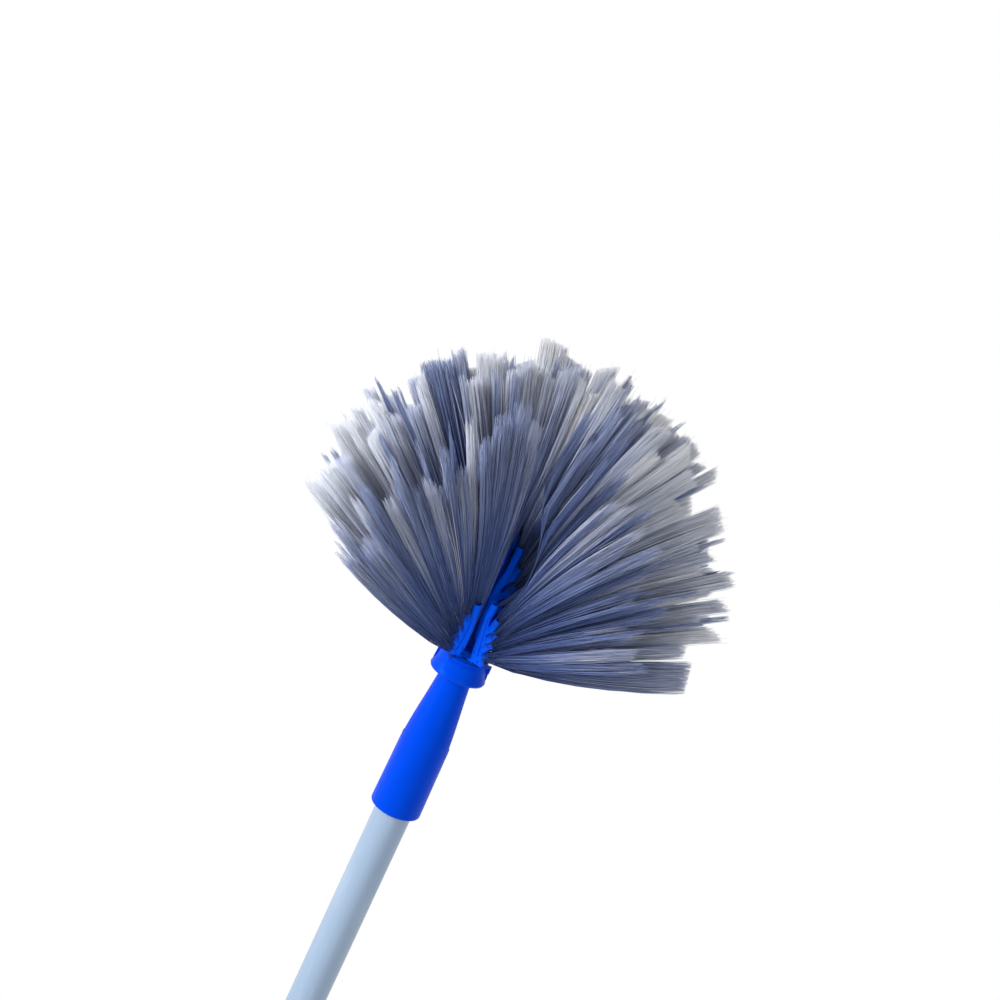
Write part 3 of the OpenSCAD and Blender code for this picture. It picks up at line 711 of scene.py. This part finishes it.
@dataclass
class BristleFan:
    """Tufts of split bristle in the cups of the arms.

    Attributes:
        finish: Material of the strands.
        feet_z: Height of the arms' feet, mm.
        low_cup_z: Height of the lowest cup above the feet, mm.
        low_cup_x: Distance of the lowest cup from the arm's inner end, mm.
        low_cup_lean: Share of its tuft's lean that the lowest cup has.
        top_cup_lean: Share of its tuft's lean that the top cup has.
        bend_share: Share of its length over which a tuft keeps its cup's direction.
        waist: Width of the dome as a share of its height.
        strands: Strands in a tuft.
        levels: Steps along a strand.
        seat: Radius inside a cup that the strands fill, mm.
        fill: Share of the room between neighbouring tufts that a tuft's tips take.
        depth: Half of a tuft's depth at its tips, mm.
        low_flare: Power with which the lowest tuft widens along its length.
        top_flare: Power with which the top tuft widens along its length.
        stray: Share of the strands that stray from their lock.
        warm_share: Share of the strands that are warm grey.
        warm_tone: Tone that marks a warm grey strand, above every other.
        skirt: Share of the lowest tuft's strands that lie round the outside of their cup.
        skirt_radius: Least and greatest distance of such a strand from the cup's middle, mm.
        skirt_depth: Least and greatest distance of its start below the cup's mouth, mm.
        thickness: Radius of a strand, mm, at shares of its length.
        opens: Heights above the feet between which the parting opens, mm.
        closes: Heights between which it closes again, mm.
        comb: Width of the band into which parted strands are squeezed, mm.
        random: Source of the random numbers.
    """

    finish: bpy.types.Material
    feet_z: float = 854.4
    low_cup_z: float = 5.6
    low_cup_x: float = 15.5
    low_cup_lean: float = 1.07
    top_cup_lean: float = 0.7
    bend_share: float = 0.4
    waist: float = 0.97
    strands: int = 880
    levels: int = 6
    seat: float = 1.5
    fill: float = 1.12
    depth: float = 9.5
    low_flare: float = 0.55
    top_flare: float = 0.9
    stray: float = 0.03
    warm_share: float = 0.015
    warm_tone: float = 0.985
    skirt: float = 0.16
    skirt_radius: tuple[float, float] = (2.35, 2.7)
    skirt_depth: tuple[float, float] = (2.5, 5.5)
    thickness: tuple = ((0.0, 0.1), (0.3, 0.2), (0.75, 0.19), (1.0, 0.07))
    opens: tuple[float, float] = (34.0, 50.0)
    closes: tuple[float, float] = (74.0, 118.0)
    comb: float = 3.0
    random: np.random.Generator = field(default_factory=lambda: np.random.default_rng(20))

    def place_of(self, slot: Slot, tuft: int) -> float:
        """How far along its row a tuft lies, in steps from the lowest place."""
        return tuft + (0.5 if slot.raised else 0.0)

    def mouth(self, slot: Slot, tuft: int) -> np.ndarray:
        """Middle of a cup's mouth in the arm's plane, mm."""
        row = slot.row
        share = self.place_of(slot, tuft) / (row.count - 1)
        to_top, to_low = row.top_x - row.mid_x, self.low_cup_x - row.mid_x
        across = row.mid_x + to_top * share**6 + to_low * (1 - share) ** 4
        return np.array([across, self.low_cup_z + (row.top - self.low_cup_z) * share])

    def tip(self, slot: Slot, tuft: int) -> np.ndarray:
        """Middle of a tuft's tips in the arm's plane, mm: a point of an oval round the dome's centre."""
        row = slot.row
        angle = math.radians(row.lowest - row.step * self.place_of(slot, tuft))
        return np.array([row.reach * self.waist * math.sin(angle), row.dome + row.reach * math.cos(angle)])

    def cup_heading(self, slot: Slot, tuft: int) -> np.ndarray:
        """Direction of a cup in the arm's plane: part of the lean of its tuft."""
        run = self.tip(slot, tuft) - self.mouth(slot, tuft)
        share = self.place_of(slot, tuft) / (slot.row.count - 1)
        part = self.low_cup_lean + (self.top_cup_lean - self.low_cup_lean) * share
        angle = math.atan2(run[0], run[1]) * part
        return np.array([math.sin(angle), math.cos(angle)])

    def disc(self, count: int) -> np.ndarray:
        """Random points spread evenly over a disc of radius 1."""
        angle = self.random.uniform(0, 2 * math.pi, count)
        radius = np.sqrt(self.random.uniform(0, 1, count))
        return np.stack([radius * np.cos(angle), radius * np.sin(angle)], axis=1)

    def tuft(self, slot: Slot, number: int) -> Tuft:
        """Course of one of an arm's tufts."""
        height = self.place_of(slot, number) / (slot.row.count - 1)
        start = self.mouth(slot, number)
        return Tuft(
            start=start,
            heading=self.cup_heading(slot, number),
            end=start + (self.tip(slot, number) - start) * (1 + slot.row.crown * height**3),
            half=slot.row.tip_half() * self.fill,
            height=height,
            cut=slot.row.cut,
            tone=slot.tone,
        )

    def strands_of(self, tuft: Tuft) -> Strands:
        """Draws the strands of a tuft.

        Each belongs to a lock. A few stray from theirs, a few are warm grey, and low down some lie round
        the outside of their cup.
        """
        count = self.strands
        locks = Locks.draw(self.random, tuft.tone + self.random.normal(0, 0.05), tuft.cut)
        lock = self.random.choice(len(locks.share), count, p=locks.share)
        own = self.disc(count)
        strays = self.random.uniform(0, 1, count) < self.stray
        skirt = self.random.uniform(0, 1, count) < self.skirt * (1 - tuft.height)
        seat = self.seat * (locks.middle[lock] * 0.5 + own * 0.45)
        radius = self.random.uniform(*self.skirt_radius, (count, 1))
        round_cup = own / np.linalg.norm(own, axis=1, keepdims=True) * radius
        sunk = np.where(skirt, self.random.uniform(*self.skirt_depth, count), self.seat)
        cut = locks.slant[lock] * own[:, 0] + np.abs(self.random.normal(0, tuft.cut.fray, count))
        length = locks.length[lock] * (1 - cut) + strays * self.random.uniform(-0.04, 0.03, count)
        tone = locks.tone[lock] + self.random.normal(0, 0.02, count)
        tone = np.clip(tone + strays * self.random.normal(0, 0.2, count), 0.0, 0.93)
        tone[self.random.uniform(0, 1, count) < self.warm_share] = self.warm_tone
        return Strands(
            own=own,
            strays=strays,
            seat=np.where(skirt[:, None], round_cup, seat),
            sunk=sunk,
            middle=locks.middle[lock],
            half=locks.half[lock],
            length=length,
            tone=tone,
        )

    def strand_lines(self, tuft: Tuft) -> tuple[np.ndarray, np.ndarray]:
        """Middle lines of a tuft's strands.

        A strand spreads from its seat to its place in its lock, which draws together again towards its
        tips. A slow wave of random phase makes each strand a little uneven.

        Returns:
            Points by strand and level in the arm's plane (across, depth, up), and the tone of each strand.
        """
        strands = self.strands_of(tuft)
        share = np.linspace(0, 1, self.levels + 1)[None, :] * strands.length[:, None]
        middle = tuft.middle(share, strands.sunk, self.bend_share)
        run = tuft.end - tuft.start
        across = np.array([run[1], -run[0]]) / np.linalg.norm(run)
        flare = self.low_flare + (self.top_flare - self.low_flare) * tuft.height
        spread = np.clip(share, 0, 1) ** flare
        gather = 1.12 - tuft.cut.gather * share**3
        size = np.array([tuft.half, self.depth])
        phase = self.random.uniform(0, 2 * math.pi, (self.strands, 2))
        beat = self.random.uniform(4, 8, self.strands)
        sway = 0.5 + 1.6 * strands.strays
        offsets = []
        for axis in range(2):
            within = (strands.half[:, axis] * strands.own[:, axis])[:, None] * gather
            tips = size[axis] * (strands.middle[:, axis, None] + within)
            wave = np.sin(share * beat[:, None] + phase[:, axis, None]) * share * sway[:, None]
            offsets.append(strands.seat[:, axis, None] * (1 - spread) + tips * spread + wave)
        aside = middle[..., 0] + across[0] * offsets[0]
        up = middle[..., 1] + across[1] * offsets[0]
        return np.stack([aside, offsets[1], up], axis=-1), strands.tone

    def strand_mesh(self, lines: np.ndarray) -> tuple[np.ndarray, np.ndarray, np.ndarray]:
        """Sweeps a triangle along each line.

        The triangle lies across the line's direction, which is the difference of neighbouring points. Its
        radius swells from the root to a third of the length and runs out to a fine tip.

        Returns:
            Points, four-sided faces and three-sided end faces.
        """
        count, levels = lines.shape[0], lines.shape[1]
        ahead = np.gradient(lines, axis=1)
        ahead /= np.linalg.norm(ahead, axis=2, keepdims=True)
        deep = np.array([0.0, 1.0, 0.0])
        first = np.cross(ahead, deep)
        first /= np.linalg.norm(first, axis=2, keepdims=True)
        second = np.cross(ahead, first)
        radius = np.interp(np.linspace(0, 1, levels), *zip(*self.thickness))[None, :, None]
        twist = self.random.uniform(0, 2 * math.pi, (count, 1, 1))
        rings = [
            lines + radius * (first * np.cos(twist + turn) + second * np.sin(twist + turn))
            for turn in (0.0, 2 * math.pi / 3, 4 * math.pi / 3)
        ]
        points = np.stack(rings, axis=2).reshape(-1, 3)
        corner = np.arange(3)
        base = (np.arange(count)[:, None, None] * levels + np.arange(levels - 1)[None, :, None]) * 3
        here, beside = base + corner, base + (corner + 1) % 3
        quads = np.stack([here, beside, beside + 3, here + 3], axis=-1).reshape(-1, 4)
        root = (np.arange(count) * levels * 3)[:, None] + np.array([2, 1, 0])
        end = (np.arange(count) * levels * 3 + (levels - 1) * 3)[:, None] + np.array([0, 1, 2])
        return points, quads, np.concatenate([root, end])

    def part(self, line: np.ndarray, slot: Slot) -> None:
        """Combs a row's strands aside, so that the stem of the inner arms is seen between the two sides.

        The clear distance from the axis rises above the row's top cup and closes again further up. Strands
        that would come nearer are squeezed into a narrow band outside it by a falling exponential.
        """
        up = line[..., 2] - self.feet_z
        ranges = (self.opens, self.closes)
        opens, closes = (np.clip((up - low) / (high - low), 0, 1) for low, high in ranges)
        clear = slot.parting * opens**2 * (3 - 2 * opens) * (1 - closes**2 * (3 - 2 * closes))
        away = line[..., 0] * slot.side.value
        edge = clear + self.comb
        squeezed = clear + self.comb * np.exp(np.minimum(away - edge, 0) / self.comb)
        combed = np.where((away < edge) & (clear > 0), np.maximum(away, squeezed), away)
        line[..., 0] = combed * slot.side.value

    def placed(self, tuft: Tuft, matrix: np.ndarray) -> tuple[np.ndarray, np.ndarray]:
        """A tuft's strand lines in the frame, mm, and their tones."""
        line, tone = self.strand_lines(tuft)
        return line @ matrix[:3, :3].T + matrix[:3, 3], tone

    def strand_object(self, name: str, line: np.ndarray, tone: np.ndarray) -> bpy.types.Object:
        """Puts strands into one object, whose two equal maps hold each one's tone and the place along it.

        Args:
            name: Name of the object.
            line: Middle lines by strand and level, mm.
            tone: Tone of each strand.

        Returns:
            The linked object.
        """
        points, quads, ends = self.strand_mesh(line)
        loops = np.concatenate([quads.ravel(), ends.ravel()])
        sizes = np.concatenate([np.full(len(quads), 4), np.full(len(ends), 3)])
        starts = np.concatenate([[0], np.cumsum(sizes)[:-1]])
        mesh = bpy.data.meshes.new(name)
        mesh.vertices.add(len(points))
        mesh.vertices.foreach_set("co", (points * MM).ravel().astype(np.float32))
        mesh.loops.add(len(loops))
        mesh.loops.foreach_set("vertex_index", loops.astype(np.int32))
        mesh.polygons.add(len(sizes))
        mesh.polygons.foreach_set("loop_start", starts.astype(np.int32))
        mesh.polygons.foreach_set("use_smooth", np.ones(len(sizes), dtype=bool))
        along = np.tile(np.repeat(np.linspace(0, 1, line.shape[1]), 3), len(line))
        across = np.repeat(tone, line.shape[1] * 3)
        spots = np.stack([across[loops], along[loops] * 0.98 + 0.01], axis=1).astype(np.float32)
        for layer in ("Strand", "OFBake"):
            mesh.uv_layers.new(name=layer).uv.foreach_set("vector", spots.ravel())
        mesh.materials.append(self.finish)
        mesh.update(calc_edges=True)
        mesh.validate()
        made = bpy.data.objects.new(name, mesh)
        bpy.context.scene.collection.objects.link(made)
        log.info("%s: %d strands, %d faces", name, len(line), len(sizes))
        return made

    def bundle(self, slot: Slot, numbers: range, half: str) -> None:
        """Makes the strands of some of an arm's tufts as one piece that replaces their node."""
        made_of = [self.placed(self.tuft(slot, number), slot.matrix(self.feet_z)) for number in numbers]
        if half == "low" and slot.name in LOOSE_TUFTS:
            loose = LOOSE_TUFTS[slot.name]
            made_of.append(self.placed(loose.tuft(), loose.matrix(self.feet_z)))
        line, tone = (np.concatenate(arrays) for arrays in zip(*made_of))
        if slot.parting:
            self.part(line, slot)
        made = self.strand_object(f"tufts_{slot.name}_{half}", line, tone)
        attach(made, "brush_head")
        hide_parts(f"bristles_{slot.name}_{half}")

    def build(self) -> None:
        """Makes every tuft, the lower and the upper half of each arm as one piece each."""
        for slot in SLOTS:
            count = slot.count()
            middle = (count + 1) // 2
            self.bundle(slot, range(middle), "low")
            self.bundle(slot, range(middle, count), "high")


# Webs


@dataclass
class ClampWebs:
    """Thin moulded webs on the clamp bar between the inner arms, before and behind the screw's head.

    Attributes:
        finish: Material of the webs.
        foot_z: Height of the clamp bar's top, mm.
        rise: Height of a web, mm.
        foot_half: Half of its width at its foot, mm.
        top_half: Half of its width at its top, mm.
        thick: Its thickness, mm.
        away: Distance of its middle from the axis, mm.
        bevel: Width of its rounded edges, mm.
    """

    finish: bpy.types.Material
    foot_z: float = 858.6
    rise: float = 14.0
    foot_half: float = 2.5
    top_half: float = 1.2
    thick: float = 1.2
    away: float = 4.3
    bevel: float = 0.3

    def web(self, name: str, away: float) -> None:
        """Builds one web as eight corners, then rounds its edges."""
        wide = np.array([self.foot_half, self.foot_half, self.top_half, self.top_half]) * [-1, 1, 1, -1]
        high = self.foot_z + self.rise * np.array([0, 0, 1, 1])
        near, far = (np.full(4, away + side * self.thick / 2) for side in (-1, 1))
        points = np.concatenate([np.stack([wide, depth, high], axis=1) for depth in (near, far)]) * MM
        faces = [(0, 1, 2, 3), (7, 6, 5, 4), (0, 4, 5, 1), (1, 5, 6, 2), (2, 6, 7, 3), (3, 7, 4, 0)]
        made = mesh_object(name, points, faces, self.finish)
        shape = bmesh.new()
        shape.from_mesh(made.data)
        bmesh.ops.bevel(shape, geom=shape.edges, offset=self.bevel * MM, segments=2, affect="EDGES")
        shape.to_mesh(made.data)
        shape.free()
        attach(made, "brush_head")

    def build(self) -> None:
        """Makes the front and the back web."""
        self.web("clamp_web_front", -self.away)
        self.web("clamp_web_back", self.away)


# Dressing


@dataclass
class Dressing:
    """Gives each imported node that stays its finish."""

    frame: dict

    def build(self) -> None:
        """Assigns one material to every slot of each node."""
        blue, arm_painted_light, deep = MOULDED_BLUE.make(), ARM_BLUE_PAINTED_LIGHT.make(), DEEP_BLUE.make()
        dark = MOULDED_BLACK.make()
        tube = PaintedTube().make()
        rubber = SoftRubber().make()
        steel = ZincSteel().make()
        finishes = {
            "lower_tube": tube,
            "upper_tube": tube,
            "hand_grip": rubber,
            "lock_nut": deep,
            "head_hub": deep,
            "clamp_bar": deep,
            "tube_guide": dark,
            "thread_tip": dark,
            "tip_rivet": steel,
            "clamp_screw": steel,
        }
        for name, node in self.frame["nodes"].items():
            # The arms get the lighter blue, painted light against the bristles' shade on them.
            finish = finishes.get(name, arm_painted_light if name.startswith("arm_") else blue)
            node.data.materials.clear()
            node.data.materials.append(finish)
            log.info("%s: %s", name, finish.name)


# Studio


@dataclass
class Studio:
    """Camera, light and floor.

    Attributes:
        aim: Point in the middle of the picture, metres.
        distance: Distance of the camera from that point, metres.
        elevation: Angle of the camera above the horizon, degrees.
        roll: Angle by which the pole leans to the right in the picture, degrees.
        lens: Focal length for a sensor of 36 mm.
        lit: Point that the lamps face, metres.
        ambient: Strength of the white surroundings where they light the object.
        floor_radius: Radius of the floor, metres.
        floor_fade: Distances from its middle between which it fades into white, metres.
    """

    aim: tuple[float, float, float] = (-0.0186, 0.0232, 0.9361)
    distance: float = 1.05
    elevation: float = 14.5
    roll: float = 24.6
    lens: float = 67.5
    lit: tuple[float, float, float] = (0.0, 0.0, 0.85)
    ambient: float = 0.42
    floor_radius: float = 0.7
    floor_fade: tuple[float, float] = (0.25, 0.68)

    def camera(self) -> None:
        """Stands in front, above the head, and is rolled so that the head leans to the right."""
        lift, roll = math.radians(self.elevation), math.radians(self.roll)
        back = Vector((0.0, -math.cos(lift), math.sin(lift)))
        level = Vector((1.0, 0.0, 0.0))
        over = Vector((0.0, math.sin(lift), math.cos(lift)))
        right = level * math.cos(roll) + over * math.sin(roll)
        up = over * math.cos(roll) - level * math.sin(roll)
        turn = Matrix((right, up, back)).transposed().to_4x4()
        data = bpy.data.cameras.new("camera")
        data.lens = self.lens
        data.clip_start, data.clip_end = 0.01, 50.0
        made = bpy.data.objects.new("camera", data)
        made.matrix_world = Matrix.Translation(Vector(self.aim) + back * self.distance) @ turn
        bpy.context.scene.collection.objects.link(made)
        bpy.context.scene.camera = made

    def lamp(self, name: str, place: tuple[float, float, float], size: float, power: float) -> None:
        """Adds a square soft lamp that faces the head.

        Args:
            name: Name of the lamp.
            place: Its place, metres.
            size: Length of its edges, metres.
            power: Its power, watts.
        """
        data = bpy.data.lights.new(name, "AREA")
        data.size = size
        data.energy = power
        made = bpy.data.objects.new(name, data)
        made.location = place
        made.rotation_euler = (Vector(self.lit) - Vector(place)).to_track_quat("-Z", "Y").to_euler()
        bpy.context.scene.collection.objects.link(made)

    def world(self) -> None:
        """White for the camera and for reflections, softer where it lights the object."""
        world = bpy.data.worlds.new("studio")
        world.use_nodes = True
        tree = world.node_tree
        tree.nodes.clear()
        path = tree.nodes.new("ShaderNodeLightPath")
        seen = tree.nodes.new("ShaderNodeMath")
        seen.operation = "MAXIMUM"
        also = tree.nodes.new("ShaderNodeMath")
        also.operation = "MAXIMUM"
        tree.links.new(path.outputs["Is Camera Ray"], seen.inputs[0])
        tree.links.new(path.outputs["Is Glossy Ray"], seen.inputs[1])
        tree.links.new(seen.outputs[0], also.inputs[0])
        tree.links.new(path.outputs["Is Transmission Ray"], also.inputs[1])
        strength = tree.nodes.new("ShaderNodeMapRange")
        strength.inputs["To Min"].default_value = self.ambient
        strength.inputs["To Max"].default_value = 1.0
        tree.links.new(also.outputs[0], strength.inputs["Value"])
        back = tree.nodes.new("ShaderNodeBackground")
        tree.links.new(strength.outputs[0], back.inputs["Strength"])
        back.inputs["Color"].default_value = (1, 1, 1, 1)
        out = tree.nodes.new("ShaderNodeOutputWorld")
        tree.links.new(back.outputs[0], out.inputs[0])
        bpy.context.scene.world = world

    def floor(self) -> None:
        """A pale round floor under the pole's end that fades into the white background."""
        corners = 96
        angle = np.linspace(0, 2 * math.pi, corners + 1)[:-1]
        ring = np.stack([np.cos(angle), np.sin(angle), np.zeros(corners)], axis=1) * self.floor_radius
        shader = Shader("studio_floor")
        shader.dress(Base_Color=(0.9, 0.9, 0.9), Roughness=0.9)
        centre = shader.add("ShaderNodeTexCoord").outputs["Object"]
        away = shader.add("ShaderNodeVectorMath", {"operation": "LENGTH"}, {0: centre})
        fade = shader.value(away, "Value").step(*self.floor_fade)
        white = shader.add("ShaderNodeEmission", {}, {"Color": (1, 1, 1, 1), "Strength": 1.0})
        inputs = {0: fade, 1: shader.surface.outputs[0], 2: white.outputs[0]}
        mix = shader.add("ShaderNodeMixShader", {}, inputs)
        shader.fill(shader.output.inputs["Surface"], mix.outputs[0])
        made = mesh_object("studio_floor", ring, [range(corners)], shader.material)

    def build(self) -> None:
        """Sets up the picture's view and its light."""
        self.camera()
        self.world()
        self.lamp("key", (-1.85, -0.9, 1.35), 0.8, 58.0)
        self.lamp("fill", (1.0, -1.65, 1.15), 1.2, 15.0)
        self.lamp("rim", (0.3, 1.5, 1.7), 1.2, 10.0)
        self.floor()
        bpy.context.scene.view_settings.view_transform = "Standard"


def main() -> None:
    """Builds the picture's parts in order."""
    logging.basicConfig(level=logging.INFO, format="%(name)s: %(message)s")
    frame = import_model()
    Studio().build()
    Dressing(frame).build()
    BristleFan(SplitBristle().make()).build()
    ClampWebs(WEB_BLUE.make()).build()


if __name__ == "__main__":
    main()
